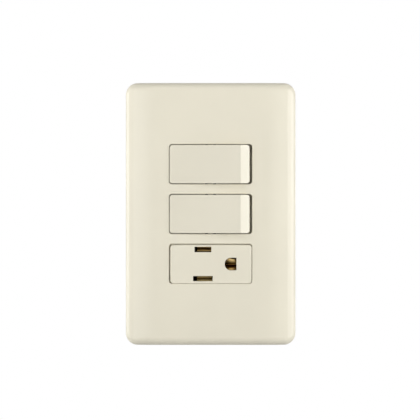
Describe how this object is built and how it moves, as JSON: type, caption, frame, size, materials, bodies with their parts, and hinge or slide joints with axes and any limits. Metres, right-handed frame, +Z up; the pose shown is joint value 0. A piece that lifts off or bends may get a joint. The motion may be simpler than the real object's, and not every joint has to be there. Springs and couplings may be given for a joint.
{
  "type": "switch and socket combination",
  "caption": "Vertical wall combination of rocker switches over a grounded socket, in a rounded screwless cover plate on a steel mounting frame.",
  "frame": {"origin": "centre of the cover plate on the wall surface, midway between the two box screws", "axes": "+X to the right seen from the front, +Y into the wall, +Z up"},
  "size_m": [0.0742, 0.0335, 0.1146],
  "materials": {
    "plate_plastic": "satin",
    "rocker_plastic": "satin",
    "face_plastic": "satin",
    "base_plastic": "matte",
    "plunger_plastic": "matte",
    "zinc_steel": "satin",
    "spring_steel": "satin",
    "brass": "satin",
    "silver": "satin",
    "green_screw": "gloss",
    "screw_brass": "satin",
    "screw_nickel": "satin"
  },
  "bodies": {
    "housing": {"wall_plate": "plate_plastic", "mounting_frame": "zinc_steel", "box_screw_top": "zinc_steel", "box_screw_bottom": "zinc_steel", "upper_switch_frame": "face_plastic", "upper_switch_base": "base_plastic", "upper_common_terminal": "brass", "upper_load_terminal": "brass", "upper_fixed_contact": "silver", "upper_common_screw": "screw_brass", "upper_load_screw": "screw_brass", "upper_common_clamp": "zinc_steel", "upper_load_clamp": "zinc_steel", "lower_switch_frame": "face_plastic", "lower_switch_base": "base_plastic", "lower_common_terminal": "brass", "lower_load_terminal": "brass", "lower_fixed_contact": "silver", "lower_common_screw": "screw_brass", "lower_load_screw": "screw_brass", "lower_common_clamp": "zinc_steel", "lower_load_clamp": "zinc_steel", "receptacle_face": "face_plastic", "receptacle_base": "base_plastic", "line_contact": "brass", "neutral_contact": "brass", "ground_contact": "brass", "line_screw": "screw_brass", "neutral_screw": "screw_nickel", "ground_screw": "green_screw", "line_clamp": "zinc_steel", "neutral_clamp": "zinc_steel", "ground_clamp": "zinc_steel"},
    "upper_rocker_body": {"upper_rocker": "rocker_plastic", "upper_plunger": "plunger_plastic", "upper_spring": "spring_steel"},
    "upper_lever_body": {"upper_contact_lever": "brass", "upper_moving_contact": "silver"},
    "lower_rocker_body": {"lower_rocker": "rocker_plastic", "lower_plunger": "plunger_plastic", "lower_spring": "spring_steel"},
    "lower_lever_body": {"lower_contact_lever": "brass", "lower_moving_contact": "silver"}
  },
  "joints": [
    {"name": "upper_rocker_tilt", "type": "hinge", "parent": "housing", "child": "upper_rocker_body", "pos_m": [0, -0.0036, 0.0217], "axis": [0, 0, 1], "range_deg": [0, 11]},
    {"name": "upper_lever_tilt", "type": "hinge", "parent": "housing", "child": "upper_lever_body", "pos_m": [0, 0.00945, 0.0217], "axis": [0, 0, 1], "range_deg": [-18, 0]},
    {"name": "lower_rocker_tilt", "type": "hinge", "parent": "housing", "child": "lower_rocker_body", "pos_m": [0, -0.0036, 0], "axis": [0, 0, 1], "range_deg": [0, 11]},
    {"name": "lower_lever_tilt", "type": "hinge", "parent": "housing", "child": "lower_lever_body", "pos_m": [0, 0.00945, 0], "axis": [0, 0, 1], "range_deg": [-18, 0]}
  ],
  "couplings": [
    {"joint": "upper_lever_tilt", "follows": "upper_rocker_tilt", "ratio": -1.6364},
    {"joint": "lower_lever_tilt", "follows": "lower_rocker_tilt", "ratio": -1.6364}
  ]
}
